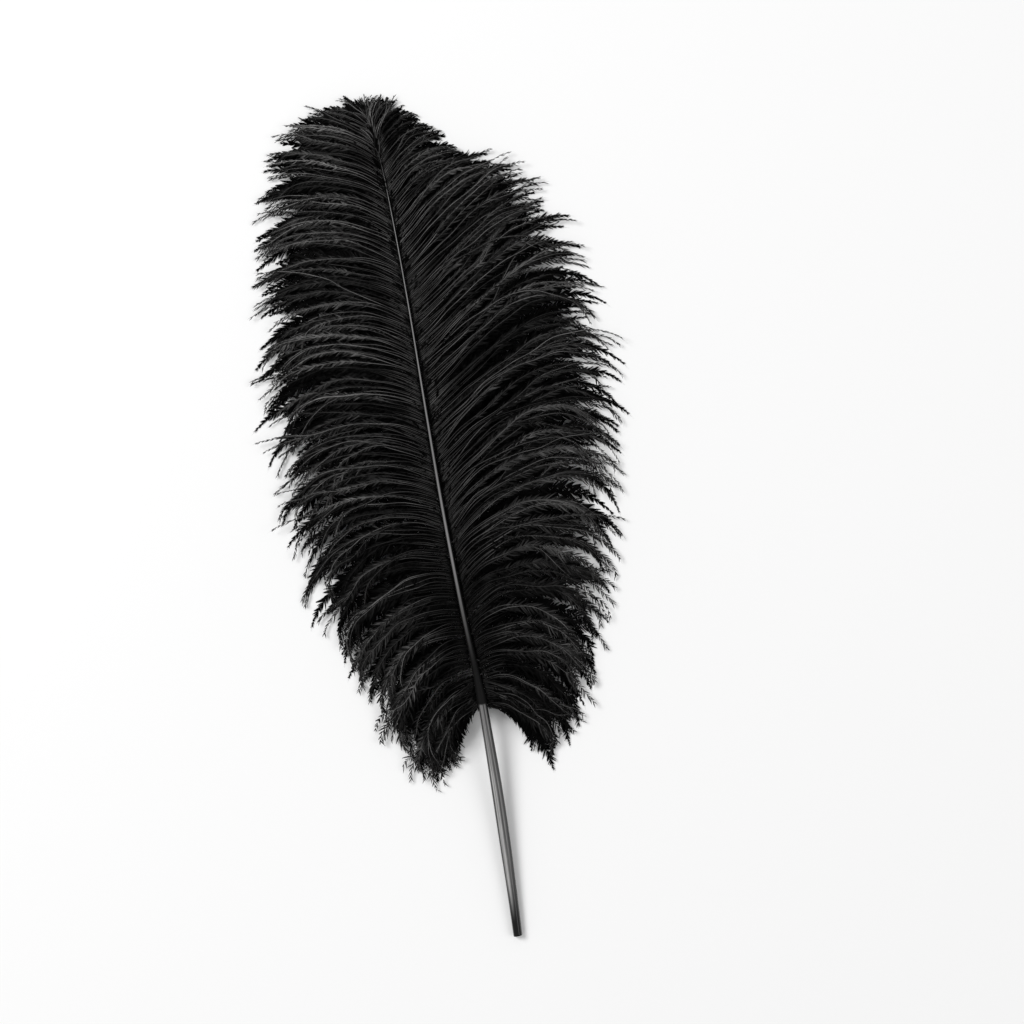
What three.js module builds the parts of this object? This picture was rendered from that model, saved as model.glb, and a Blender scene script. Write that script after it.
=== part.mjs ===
// An ostrich plume, dyed black and lying with its convex side up: a horn shaft, and a row of barbs on each side.
// Each row is one thin closed shell, bent along the barbs from their roots to their tips.
// Millimetres. +Y runs from the cut end of the quill to the tip of the plume, +X is to the right and +Z is up.

import * as THREE from 'three';

// Driving dimensions

const SHAFT_LENGTH = 590;
const SHAFT_SIDES = 12;
const SHAFT_STEPS = 59;

const FIRST_BARB = 164; // distance of the lowest barbs from the cut end
const LAST_BARB = 588;
const BARB_ROWS = 44;
const BARB_STEPS = 12;

const VANE_THICKNESS = 3; // next to the shaft
const EDGE_THICKNESS = 2; // at the barbs' tips
const VANE_GAP = 0.35; // keeps the vane and the shaft separate solids
const VANE_CROWN = 12; // how far the longest barbs arch above a smooth fall from the shaft to the surface
const TOUCHDOWN = 10 / BARB_STEPS; // share of a barb past which it lies flat on the surface
const CROWN_LENGTH = 140; // a barb of this length has the whole crown

const LEFT = -1;
const RIGHT = 1;

const DEGREES = Math.PI / 180;

// The shaft: distance from the cut end, how far it bows to the right, height of its middle, width, depth.
const SHAFT_STATIONS = [
  [0, 0, 3.1, 6.2, 6.2],
  [30, 1.6, 4.4, 6.8, 6.6],
  [70, 3.4, 7.0, 7.8, 7.0],
  [105, 4.7, 10.5, 7.8, 7.0],
  [140, 5.6, 15.0, 7.0, 6.6],
  [170, 6.0, 19.0, 6.0, 6.2],
  [190, 5.8, 21.5, 4.6, 5.4],
  [240, 4.6, 27.0, 3.9, 4.8],
  [305, 4.4, 32.5, 3.2, 4.0],
  [370, 5.5, 35.0, 2.5, 3.1],
  [455, 7.2, 33.5, 1.6, 2.0],
  [530, 6.9, 25.0, 1.0, 1.3],
  [566, 5.2, 16.5, 0.8, 0.9],
  [590, 1.8, 8.5, 0.6, 0.6],
];

// The barbs: distance of the root from the cut end, length seen from above, and the angle between the barb and
// the way to the tip of the plume, in degrees, at the root, along the middle and at the barb's own tip.
const LEFT_BARBS = [
  [164, 70, 95, 158, 186],
  [185, 88, 84, 150, 186],
  [225, 102, 70, 128, 180],
  [270, 115, 62, 106, 170],
  [320, 123, 54, 88, 152],
  [385, 122, 50, 84, 135],
  [450, 112, 47, 80, 118],
  [510, 98, 43, 74, 104],
  [550, 78, 38, 66, 92],
  [575, 42, 32, 50, 72],
  [588, 18, 14, 20, 30],
];

const RIGHT_BARBS = [
  [164, 70, 90, 160, 184],
  [185, 90, 66, 140, 183],
  [225, 114, 44, 106, 178],
  [270, 138, 40, 81, 169],
  [320, 152, 48, 61, 156],
  [385, 150, 58, 48, 136],
  [450, 126, 60, 45, 104],
  [490, 101, 54, 46, 104],
  [510, 77, 52, 49, 116],
  [550, 46, 46, 50, 122],
  [575, 28, 38, 46, 118],
  [588, 14, 14, 24, 60],
];

// The slope of one column of a station table at one of its stations.
function slopeAt(stations, column, index) {
  const before = stations[Math.max(index - 1, 0)];
  const after = stations[Math.min(index + 1, stations.length - 1)];
  return (after[column] - before[column]) / (after[0] - before[0]);
}

// All the columns of a station table at a distance from the cut end, on smooth curves through the stations.
function stationAt(stations, distance) {
  let low = 0;
  while (low < stations.length - 2 && distance > stations[low + 1][0]) {
    low += 1;
  }
  const start = stations[low];
  const end = stations[low + 1];
  const span = end[0] - start[0];
  const t = THREE.MathUtils.clamp((distance - start[0]) / span, 0, 1);
  return start.map((value, column) => {
    const leaving = span * slopeAt(stations, column, low) * t * (1 - t) * (1 - t);
    const arriving = span * slopeAt(stations, column, low + 1) * t * t * (t - 1);
    return THREE.MathUtils.lerp(value, end[column], t * t * (3 - 2 * t)) + leaving + arriving;
  });
}

// The shaft's own facts at a distance from the cut end.
function shaftAt(distance) {
  const [, bow, height, width, depth] = stationAt(SHAFT_STATIONS, distance);
  return { middle: new THREE.Vector3(bow, distance, height), width, depth };
}

// The way the shaft points, seen from above.
function shaftHeading(distance) {
  const ahead = shaftAt(Math.min(distance + 1, SHAFT_LENGTH)).middle;
  const heading = ahead.sub(shaftAt(distance - 1).middle);
  return heading.setZ(0).normalize();
}

// Height of the vane's underside at a share of a barb's length: an arch that comes down to lie on the surface.
function undersideHeight(rootHeight, barbLength, share) {
  const fall = Math.min(share / TOUCHDOWN, 1);
  const crown = VANE_CROWN * Math.min(barbLength / CROWN_LENGTH, 1);
  return rootHeight * (1 - THREE.MathUtils.smoothstep(fall, 0, 1)) + crown * 4 * fall * (1 - fall);
}

// Points along the underside of one barb, from its root to its tip.
function barbPath(barbs, side, distance) {
  const [, length, rootAngle, middleAngle, tipAngle] = stationAt(barbs, distance);
  const shaft = shaftAt(distance);
  const forwards = shaftHeading(distance);
  const outwards = new THREE.Vector3(forwards.y, -forwards.x, 0).multiplyScalar(side);
  const rootHeight = shaft.middle.z - VANE_THICKNESS / 2;
  const point = shaft.middle.clone().addScaledVector(outwards, shaft.width / 2 + VANE_GAP);
  const path = [];
  for (let step = 0; step <= BARB_STEPS; step += 1) {
    const height = undersideHeight(rootHeight, length, step / BARB_STEPS);
    path.push(point.clone().setZ(height));
    const share = (step + 0.5) / BARB_STEPS;
    const nearRoot = (1 - share) ** 3;
    const nearTip = share ** 3;
    const angle = nearRoot * rootAngle + nearTip * tipAngle + (1 - nearRoot - nearTip) * middleAngle;
    const stride = length / BARB_STEPS;
    point.addScaledVector(forwards, stride * Math.cos(angle * DEGREES));
    point.addScaledVector(outwards, stride * Math.sin(angle * DEGREES));
  }
  return path;
}

function hornMaterial() {
  return new THREE.MeshStandardMaterial({ color: 0x2a2929, roughness: 0.35, metalness: 0 });
}

function barbMaterial() {
  return new THREE.MeshStandardMaterial({ color: 0x0d0d0d, roughness: 0.6, metalness: 0 });
}

// The quill and the rachis are one tapering rod, bent along the stations.
function makeShaft() {
  const geometry = new THREE.CylinderGeometry(1, 1, 1, SHAFT_SIDES, SHAFT_STEPS);
  const position = geometry.attributes.position;
  for (let i = 0; i < position.count; i += 1) {
    const shaft = shaftAt((position.getY(i) + 0.5) * SHAFT_LENGTH);
    const x = shaft.middle.x + (position.getX(i) * shaft.width) / 2;
    const z = shaft.middle.z + (position.getZ(i) * shaft.depth) / 2;
    position.setXYZ(i, x, shaft.middle.y, z);
  }
  const mesh = new THREE.Mesh(geometry, hornMaterial());
  mesh.name = 'shaft';
  return mesh;
}

// A vane is a thin slab whose width follows the barbs, row by row.
function makeVane(name, side, barbs) {
  const rows = [];
  for (let row = 0; row <= BARB_ROWS; row += 1) {
    rows.push(barbPath(barbs, side, THREE.MathUtils.lerp(FIRST_BARB, LAST_BARB, row / BARB_ROWS)));
  }
  const geometry = new THREE.BoxGeometry(1, 1, 1, BARB_STEPS, BARB_ROWS, 1);
  const position = geometry.attributes.position;
  for (let i = 0; i < position.count; i += 1) {
    const share = 0.5 + side * position.getX(i);
    const row = Math.round((position.getY(i) + 0.5) * BARB_ROWS);
    const point = rows[row][Math.round(share * BARB_STEPS)];
    const thickness = THREE.MathUtils.lerp(VANE_THICKNESS, EDGE_THICKNESS, share);
    const lift = position.getZ(i) > 0 ? thickness : 0;
    position.setXYZ(i, point.x, point.y, point.z + lift);
  }
  const mesh = new THREE.Mesh(geometry, barbMaterial());
  mesh.name = name;
  return mesh;
}

const plume = new THREE.Group();
plume.add(makeShaft());
plume.add(makeVane('vane_left', LEFT, LEFT_BARBS));
plume.add(makeVane('vane_right', RIGHT, RIGHT_BARBS));

// The origin is under the middle of the plume, on the surface that it lies on.
const box = new THREE.Box3().setFromObject(plume);
const middle = box.getCenter(new THREE.Vector3());
plume.position.set(-middle.x, -middle.y, -box.min.z);

export default plume;
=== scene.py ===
# %% [markdown]
# # A black ostrich plume
# A plume is a horn shaft with a row of long, soft barbs on each side. The lower part of the shaft, the
# quill, is bare. Each barb is a thin stem that carries two rows of fine barbules, and because these have no
# hooks the barbs stay loose, stick together in locks and droop under their own weight.
#
# The frame is the measured model of the same plume. It gives the size and the place of everything, so it
# comes first.

# %% Load the frame
import math

import bpy
import numpy as np
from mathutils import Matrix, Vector


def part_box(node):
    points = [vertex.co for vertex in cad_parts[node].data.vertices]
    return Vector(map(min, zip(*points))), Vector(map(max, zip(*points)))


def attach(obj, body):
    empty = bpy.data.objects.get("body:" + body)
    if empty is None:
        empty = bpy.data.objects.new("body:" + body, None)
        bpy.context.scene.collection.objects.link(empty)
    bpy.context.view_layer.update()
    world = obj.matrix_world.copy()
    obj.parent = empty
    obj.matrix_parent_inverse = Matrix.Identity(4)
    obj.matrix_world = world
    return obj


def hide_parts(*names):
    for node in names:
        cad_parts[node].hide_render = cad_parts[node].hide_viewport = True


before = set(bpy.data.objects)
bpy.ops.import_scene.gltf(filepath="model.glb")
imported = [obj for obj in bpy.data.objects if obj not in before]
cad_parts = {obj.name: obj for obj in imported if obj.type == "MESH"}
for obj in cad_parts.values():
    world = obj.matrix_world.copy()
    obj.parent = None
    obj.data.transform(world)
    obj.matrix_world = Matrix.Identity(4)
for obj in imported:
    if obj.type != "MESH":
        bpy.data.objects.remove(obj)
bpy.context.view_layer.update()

MM = 0.001

# %% [markdown]
# The plume is drawn in its own measure: millimetres from the cut end of the quill, with +Y along the shaft,
# as one would measure it with a rule. One function carries such points into the frame. The place of the cut
# end is read from the frame's own shaft.

# %% The plume's own measure
QUILL_WIDTH = 6.2  # at the cut end

shaft_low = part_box("shaft")[0]
CUT_END = np.array([shaft_low.x + QUILL_WIDTH / 2 * MM, shaft_low.y, 0.0])


def to_frame(points_mm):
    """Points in the plume's own millimetres, as metres in the frame."""
    return np.asarray(points_mm) * MM + CUT_END


print("cut end of the quill at", CUT_END.round(4))

# %% [markdown]
# The camera looks straight down, as one looks at a plume laid on a table. A long lens keeps the perspective
# gentle. The camera is rolled a little, so the plume leans to the left.

# %% Camera
PICTURE_MM = 713.7  # width of the table that the picture shows
LEAN_DEGREES = 10.64  # how far the plume leans to the left
PICTURE_CENTRE = (51.0, 294.0)  # in the plume's own millimetres
LENS_MM = 85.0
SENSOR_MM = 36.0
AIM_HEIGHT_MM = 20.0

camera = bpy.data.objects.new("camera", bpy.data.cameras.new("camera"))
bpy.context.scene.collection.objects.link(camera)
bpy.context.scene.camera = camera
camera.data.lens = LENS_MM
camera.data.sensor_width = SENSOR_MM
camera_height = AIM_HEIGHT_MM + PICTURE_MM * LENS_MM / SENSOR_MM
camera.location = to_frame((*PICTURE_CENTRE, camera_height))
camera.rotation_euler = (0, 0, -math.radians(LEAN_DEGREES))
print("camera is", round(camera.location.z, 3), "m above the table")

# %% [markdown]
# The table is plain and nearly white. A broad soft light stands to the upper left, a weaker one to the
# right, and a bright sky fills the shadows, which is how a dark, shiny thing is lit to show its shape.

# %% Table and light
TABLE_SIZE = 12.0
TABLE_COLOUR = (0.92, 0.92, 0.92, 1)
SKY_STRENGTH = 0.43
LIGHT_SIZE = 2.0
KEY_PLACE = (-2.4, 1.9, 3.4)
KEY_WATTS = 150
FILL_PLACE = (2.4, -0.8, 2.6)
FILL_WATTS = 25


def plain_material(name, colour, roughness):
    material = bpy.data.materials.new(name)
    material.use_nodes = True
    shader = material.node_tree.nodes["Principled BSDF"]
    shader.inputs["Base Color"].default_value = colour
    shader.inputs["Roughness"].default_value = roughness
    return material


bpy.ops.mesh.primitive_plane_add(size=TABLE_SIZE)
table = bpy.context.object
table.name = "table"
table.data.materials.append(plain_material("table_white", TABLE_COLOUR, 0.9))

world = bpy.data.worlds.new("studio")
world.use_nodes = True
world.node_tree.nodes["Background"].inputs["Color"].default_value = (1, 1, 1, 1)
world.node_tree.nodes["Background"].inputs["Strength"].default_value = SKY_STRENGTH
bpy.context.scene.world = world
bpy.context.scene.view_settings.view_transform = "Standard"


def soft_light(name, place, watts):
    """A square light that looks at the middle of the plume."""
    light = bpy.data.objects.new(name, bpy.data.lights.new(name, "AREA"))
    bpy.context.scene.collection.objects.link(light)
    light.data.size = LIGHT_SIZE
    light.data.energy = watts
    light.location = place
    light.rotation_euler = (-Vector(place)).to_track_quat("-Z", "Y").to_euler()


soft_light("key_light", KEY_PLACE, KEY_WATTS)
soft_light("fill_light", FILL_PLACE, FILL_WATTS)
print("the lights give", KEY_WATTS, "and", FILL_WATTS, "W")

# %% [markdown]
# ## The lie of the plume
# The shaft and the barbs are described by stations, a few places along the shaft where the form is known.
# The frame was built from the same stations, so the looks and the measured model agree.

# %% Stations
# Distance from the cut end, bow to the right, height of the middle, width and depth.
SHAFT_STATIONS = np.array([
    (0, 0, 3.1, 6.2, 6.2),
    (30, 1.6, 4.4, 6.8, 6.6),
    (70, 3.4, 7.0, 7.8, 7.0),
    (105, 4.7, 10.5, 7.8, 7.0),
    (140, 5.6, 15.0, 7.0, 6.6),
    (170, 6.0, 19.0, 6.0, 6.2),
    (190, 5.8, 21.5, 4.6, 5.4),
    (240, 4.6, 27.0, 3.9, 4.8),
    (305, 4.4, 32.5, 3.2, 4.0),
    (370, 5.5, 35.0, 2.5, 3.1),
    (455, 7.2, 33.5, 1.6, 2.0),
    (530, 6.9, 25.0, 1.0, 1.3),
    (566, 5.2, 16.5, 0.8, 0.9),
    (590, 1.8, 8.5, 0.6, 0.6),
])

# Distance of the root from the cut end, length seen from above, and the barb's angle from the shaft's own
# way, in degrees, at the root, along the middle and at the barb's tip.
LEFT_BARBS = np.array([
    (164, 70, 95, 158, 186),
    (185, 88, 84, 150, 186),
    (225, 102, 70, 128, 180),
    (270, 115, 62, 106, 170),
    (320, 123, 54, 88, 152),
    (385, 122, 50, 84, 135),
    (450, 112, 47, 80, 118),
    (510, 98, 43, 74, 104),
    (550, 78, 38, 66, 92),
    (575, 42, 32, 50, 72),
    (588, 18, 14, 20, 30),
])

RIGHT_BARBS = np.array([
    (164, 70, 90, 160, 184),
    (185, 90, 66, 140, 183),
    (225, 114, 44, 106, 178),
    (270, 138, 40, 81, 169),
    (320, 152, 48, 61, 156),
    (385, 150, 58, 48, 136),
    (450, 126, 60, 45, 104),
    (490, 101, 54, 46, 104),
    (510, 77, 52, 49, 116),
    (550, 46, 46, 50, 122),
    (575, 28, 38, 46, 118),
    (588, 14, 14, 24, 60),
])

SHAFT_LENGTH = SHAFT_STATIONS[-1, 0]
print("the shaft is", SHAFT_LENGTH, "mm long, and the longest barb", RIGHT_BARBS[:, 1].max(), "mm")

# %% [markdown]
# Between the stations each measure follows a cubic curve, so the shaft and the margins run without corners.
# All the sums take whole arrays of distances at once.

# %% Curves through the stations
TINY = 1e-9


def unit(vectors):
    """The same ways, one long."""
    return vectors / np.maximum(np.linalg.norm(vectors, axis=-1, keepdims=True), TINY)


def smoothstep(x):
    """A smooth rise from 0 at 0 to 1 at 1."""
    x = np.clip(x, 0, 1)
    return x * x * (3 - 2 * x)


def rise(x, start, length):
    """A smooth rise from 0 at start to 1 a length further on."""
    return smoothstep((x - start) / length)


def stations_at(stations, distance):
    """All the columns of a table of stations at these distances, on smooth curves."""
    distance = np.atleast_1d(distance).astype(float)
    at = stations[:, 0]
    index = np.arange(len(at))
    before = stations[np.maximum(index - 1, 0)]
    after = stations[np.minimum(index + 1, len(at) - 1)]
    slope = (after - before) / (after[:, :1] - before[:, :1])
    low = np.clip(np.searchsorted(at, distance, side="right") - 1, 0, len(at) - 2)
    span = (at[low + 1] - at[low])[:, None]
    t = np.clip((distance - at[low])[:, None] / span, 0, 1)
    rise = t * t * (3 - 2 * t)
    leaving = span * slope[low] * t * (1 - t) ** 2
    arriving = span * slope[low + 1] * t * t * (t - 1)
    return (stations[low] * (1 - rise) + stations[low + 1] * rise + leaving + arriving).T


def shaft_at(distance):
    """Middle, forward way, width and depth of the shaft at these distances."""
    _, bow, height, width, depth = stations_at(SHAFT_STATIONS, distance)
    middle = np.stack([bow, np.atleast_1d(distance), height], -1)
    ahead = stations_at(SHAFT_STATIONS, np.minimum(distance + 1.0, SHAFT_LENGTH))
    behind = stations_at(SHAFT_STATIONS, np.maximum(distance - 1.0, 0))
    way = np.stack([ahead[1] - behind[1], ahead[0] - behind[0], ahead[2] - behind[2]], -1)
    return middle, unit(way), width, depth


print("half way along, the rachis is", shaft_at(SHAFT_LENGTH / 2)[2].round(1)[0], "mm wide")

# %% [markdown]
# ## From arrays to a mesh
# So many barbules can't be placed by hand. Their corners are worked out as arrays and handed to Blender in
# one go. Each piece brings a UV map: U runs along a barb, and each barb has its own strip of V.

# %% Mesh maker
UV_NAME = "OFBake"
STANDING = "standing"  # how far a barb stands out from the vane, from 0 to 1


def mesh_piece(name, corners_mm, triangles, corner_uv, material, smooth, standing=None):
    """A mesh object from corners and triangles, each with three UVs and a smooth flag."""
    mesh = bpy.data.meshes.new(name)
    mesh.vertices.add(len(corners_mm))
    mesh.vertices.foreach_set("co", to_frame(corners_mm).astype(np.float32).ravel())
    mesh.loops.add(triangles.size)
    mesh.loops.foreach_set("vertex_index", triangles.astype(np.int32).ravel())
    mesh.polygons.add(len(triangles))
    mesh.polygons.foreach_set("loop_start", np.arange(0, triangles.size, 3, dtype=np.int32))
    mesh.polygons.foreach_set("use_smooth", np.asarray(smooth, bool))
    mesh.update(calc_edges=True)
    uv_layer = mesh.uv_layers.new(name=UV_NAME)
    uv_layer.uv.foreach_set("vector", corner_uv.astype(np.float32).ravel())
    if standing is not None:
        attribute = mesh.attributes.new(STANDING, "FLOAT", "POINT")
        attribute.data.foreach_set("value", standing.astype(np.float32))
    mesh.materials.append(material)
    piece = bpy.data.objects.new(name, mesh)
    bpy.context.scene.collection.objects.link(piece)
    print(name, "has", len(triangles), "triangles")
    return piece

# %% [markdown]
# ## Barbs
# A barb leaves the rachis at an angle, runs out, then droops. Barbs that touch cling together in strands,
# and neighbouring strands lean the same way and make a lock. Some barbs between them stay loose and lie
# lower, and they close the vane.

# %% Groups of barbs
BARBS_PER_SIDE = 352
PATH_POINTS = 36
SHARES = np.linspace(0, 1, PATH_POINTS)  # shares of a barb's length at its points


def group_labels(rng, smallest, largest):
    """Numbers neighbours into groups of random sizes, up to the largest that suits each place."""
    labels = np.zeros(len(largest), int)
    start = 0
    group = 0
    while start < len(largest):
        size = rng.integers(smallest, largest[start] + 1)
        labels[start:start + size] = group
        start += size
        group += 1
    return labels


def group_mean(values, labels):
    """The mean of each group, given back to every member."""
    starts = np.flatnonzero(np.diff(labels, prepend=labels[0] - 1))
    sizes = np.diff(np.append(starts, len(labels)))
    sums = np.add.reduceat(values, starts, axis=0)
    means = sums / sizes.reshape(-1, *[1] * (values.ndim - 1))
    return np.repeat(means, sizes, axis=0)


def per_group(rng, labels, low, high):
    """One random number for each group, given to every member."""
    return rng.uniform(low, high, labels.max() + 1)[labels]


def some_of(rng, count, part):
    """Picks this part of a row of barbs, spread nearly evenly along it."""
    place = np.arange(count) * part + rng.uniform(-0.3, 0.3, count)
    return np.diff(np.floor(place), prepend=-1) > 0


def resample(paths, ends):
    """The paths again, each cut to this share of its length."""
    at = SHARES[None, :] * ends[:, None] * (PATH_POINTS - 1)
    low = np.minimum(at.astype(int), PATH_POINTS - 2)
    part = (at - low)[:, :, None]
    row = np.arange(len(paths))[:, None]
    return paths[row, low] * (1 - part) + paths[row, low + 1] * part


print(BARBS_PER_SIDE, "barbs on each side, drawn through", PATH_POINTS, "points each")

# %% [markdown]
# First it is settled which barbs share a strand and a lock, which stray and which stay loose. The choices
# come from a seeded generator, so the plume is the same each time. The barbs near the quill are down,
# softer and more restless than the rest.

# %% Kinds of barbs
FIRST_BARB = 164.0  # distances of the roots from the cut end
LAST_BARB = 588.0
DOWN_START = 210.0  # every barb below this distance is down
DOWN_END = 330.0  # and none above this one
CALM_START = 360.0  # from here the barbs grow calmer
CALM_LENGTH = 140.0  # over this length
LOOSE_BARBS = 0.37  # part of all the barbs
STRAY_BARBS = 0.1
SMALLEST_STRAND = 2
LARGEST_STRAND = 4.5
LARGER_IN_DOWN = 3.5
SMALLEST_LOCK = 7
LARGEST_LOCK = 15
LEAST_UNREST = 0.7
UNREST_BELOW = 0.45  # added below the calm part
UNREST_OF_DOWN = 0.55


def downiness(root):
    """How downy the barbs with these roots are, from 0 to 1."""
    return 1 - smoothstep((root - DOWN_START) / (DOWN_END - DOWN_START))


class Row:
    """Barbs with these roots: their curves, strands, locks, kinds and unrest."""

    def __init__(self, rng, side, stations, root, loose_part, stray_part):
        self.side = side
        self.root = root
        self.count = len(root)
        self.down = downiness(root)
        _, self.length, self.root_angle, self.middle_angle, self.tip_angle = stations_at(stations, root)
        largest = (LARGEST_STRAND + LARGER_IN_DOWN * self.down).astype(int)
        self.strands = group_labels(rng, SMALLEST_STRAND, largest)
        self.locks = group_labels(rng, SMALLEST_LOCK, np.full(self.count, LARGEST_LOCK))
        self.stray = rng.random(self.count) < stray_part
        self.loose = ~self.stray & some_of(rng, self.count, loose_part)
        own = self.strands.max() + 1 + np.arange(self.count)
        self.tuft_strands = np.where(self.loose | self.stray, own, self.strands)
        calm = rise(root, CALM_START, CALM_LENGTH)
        self.unrest = LEAST_UNREST + UNREST_BELOW * (1 - calm) + UNREST_OF_DOWN * self.down

# %% [markdown]
# A barb is drawn in short steps, and its angle says where each step goes. To the stations' even curve come
# the lean of its lock and strand, slow waves that the strand shares, and a curl towards the tip. They make
# a vane that looks grown and not combed.

# %% Angles along the barbs
LOCK_LEAN = (-2, 4)  # ranges in degrees, from here to STRAY_KINK
STRAND_LEAN = (-16, 16)
LOOSE_LEAN = (-6, 6)
STRAY_LEAN = (-30, 34)
END_LEAN = (-10, 10)
CURL = (-16, 24)
STRAY_KINK = (-26, 26)
MEAN_CURL = 7
CROWN_BARBS = 430.0  # past this distance the strays lean less, to leave the crown whole
CROWN_CALMS = 0.75
LOOSE_FOLLOWS = 0.15  # part of its strand's lean and curl that a loose barb takes up
LOOSE_WAVES = 0.3
WAVES = ((0.8, 7.0), (1.7, 8.5), (3.3, 7.5), (5.7, 5.0))  # number in a barb's length, and size


def even_angles(row, share):
    """The angles that the stations give, at these shares of the barbs' length."""
    near_root = (1 - share) ** 3
    near_tip = share**3
    angle = near_root * row.root_angle[:, None] + near_tip * row.tip_angle[:, None]
    return angle + (1 - near_root - near_tip) * row.middle_angle[:, None]


def barb_angles(rng, row, lean):
    """The angle of each barb at each step, and how far its lock leans."""
    share = (SHARES[None, :-1] + SHARES[None, 1:]) / 2
    angle = even_angles(row, share)
    lock_lean = per_group(rng, row.locks, *LOCK_LEAN)
    strand_lean = per_group(rng, row.strands, *STRAND_LEAN) * row.unrest
    loose_lean = row.loose * rng.uniform(*LOOSE_LEAN, row.count)
    calmed = 1 - CROWN_CALMS * rise(row.root, CROWN_BARBS, 50)
    stray_lean = row.stray * rng.uniform(*STRAY_LEAN, row.count) * calmed
    group_lean = np.where(row.loose, LOOSE_FOLLOWS, 1) * (lock_lean + strand_lean)
    angle += share * (group_lean + loose_lean + stray_lean)[:, None]
    angle += rise(share, 0.3, 0.4) * (row.unrest * rng.uniform(*END_LEAN, row.count))[:, None]
    angle += rng.uniform(*lean, row.count)[:, None]
    follows_waves = np.where(row.loose, LOOSE_WAVES, 1)
    for waves, size in WAVES:
        phase = per_group(rng, row.strands, 0, 1) + per_group(rng, row.locks, 0, 0.3)
        phase = phase + row.loose * rng.random(row.count)
        strength = size * row.unrest * per_group(rng, row.strands, 0.3, 1.3) * follows_waves
        angle += strength[:, None] * np.sqrt(share) * np.sin(2 * np.pi * (waves * share + phase[:, None]))
    curl = MEAN_CURL + per_group(rng, row.strands, *CURL) * row.unrest * np.where(row.loose, LOOSE_FOLLOWS, 1)
    angle += curl[:, None] * rise(share, 0.42, 0.5)
    kink = smoothstep((share - rng.uniform(0.2, 0.7, row.count)[:, None]) / 0.12)
    angle += kink * (row.stray * row.unrest * rng.uniform(*STRAY_KINK, row.count))[:, None]
    return np.radians(angle), lock_lean

# %% [markdown]
# Seen from above, the steps are laid end to end from the rachis outwards. A wavy barb is cut a little
# longer, so that it reaches as far as an even one.

# %% Barbs seen from above
LENGTH_FOR_WAVES = 1.09
ROOT_DEPTH = 0.85  # part of the rachis's half width at which a barb is rooted
ROOT_DROP = 0.22  # part of the rachis's depth by which the roots lie below its middle


def barb_plan(row, angle):
    """The paths seen from above, still at the height of their roots."""
    middle, way, width, depth = shaft_at(row.root)
    way = unit(way * (1, 1, 0))
    out = np.stack([way[:, 1], -way[:, 0], 0 * row.root], -1) * row.side
    stride = (LENGTH_FOR_WAVES * row.length / (PATH_POINTS - 1))[:, None, None]
    steps = (np.cos(angle)[:, :, None] * way[:, None] + np.sin(angle)[:, :, None] * out[:, None]) * stride
    start = middle + out * (width / 2 * ROOT_DEPTH)[:, None] - np.array([0, 0, ROOT_DROP]) * depth[:, None]
    return np.concatenate([start[:, None], start[:, None] + np.cumsum(steps, 1)], 1)

# %% [markdown]
# The heights follow the frame's arch, from the rachis over a low crown down to the table. A lock bulges in
# its middle, a strand stands up or lies down as a whole, and the loose barbs lie below. How far a barb
# stands out is kept for its colour: barbs that stand out are painted lighter and low ones darker, as painted
# light and shade.

# %% Heights of the barbs
VANE_CROWN = 12.0
CROWN_LENGTH = 140.0  # a barb of this length has the whole crown
TOUCHDOWN = 10 / 12  # share of a barb past which it lies on the table
LOWEST_BARB = 0.5
LOCK_BULGE = 0.9
LOCK_HALF = 6  # barbs from a lock's middle to its edge
STRAND_LIFT = (-1.5, 3.5)  # ranges in millimetres, as are the next three
LOOSE_LIFT = (-5.5, -2.0)
STRAY_LIFT = (3, 8)
TIP_LIFT = (0.5, 5.0)
MEAN_LIFT = 2.1
SHORT_BARB = 80  # barbs shorter than this are lifted less


def barb_heights(rng, row, lock_lean, root_height):
    """The height of every point, and how far each barb stands out, from 0 to 1."""
    fall = np.minimum(SHARES / TOUCHDOWN, 1)[None, :]
    crown = (VANE_CROWN * np.minimum(row.length / CROWN_LENGTH, 1))[:, None]
    height = root_height * (1 - smoothstep(fall)) + crown * 4 * fall * (1 - fall)
    swell = smoothstep(SHARES / 0.35)[None, :] * (1 - 0.6 * rise(SHARES, 0.6, 0.4))[None, :]
    order = np.arange(row.count)
    bulge = 1 - ((order - group_mean(order.astype(float), row.locks)) / LOCK_HALF) ** 2
    strand_lift = per_group(rng, row.strands, *STRAND_LIFT) * (1 + 0.7 * row.down)
    lift = LOCK_BULGE * bulge + lock_lean * 0.25 + strand_lift + MEAN_LIFT
    lift = np.where(row.loose, rng.uniform(*LOOSE_LIFT, row.count), lift)
    lift = np.where(row.stray, rng.uniform(*STRAY_LIFT, row.count), lift)
    standing = smoothstep((lift + 3.0) / 9.5)
    height = height + swell * (lift * np.minimum(row.length / SHORT_BARB, 1))[:, None]
    tip_lift = np.where(row.loose, 0.0, per_group(rng, row.strands, *TIP_LIFT))
    height = height + SHARES[None, :] ** 3 * tip_lift[:, None]
    return np.maximum(height, LOWEST_BARB), standing

# %% [markdown]
# Past the point where the barbs of a strand meet, each is drawn towards their mean, and further out they
# part again. Then each barb is cut to its own length and wanders a little, like a hair.

# %% Clinging and wandering
CLING = (0.84, 1.0)
LOOSE_CLING = 0.1
MEETING = (0.08, 0.2)  # shares of a barb at which a strand comes together
PARTING = (0.3, 0.95)  # how much of its clinging a strand loses at the tip
LOCK_CLING = 0.12
LOOSE_ENDS = (0.78, 1.0)  # ranges of the share that is left of a barb
STRAND_ENDS = (0.8, 1.0)
STRAY_ENDS = (0.88, 1.0)
LOOSE_WANDER = 0.6
WANDER = 0.34
WANDER_TURNS = (0.4, 1.5)


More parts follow.
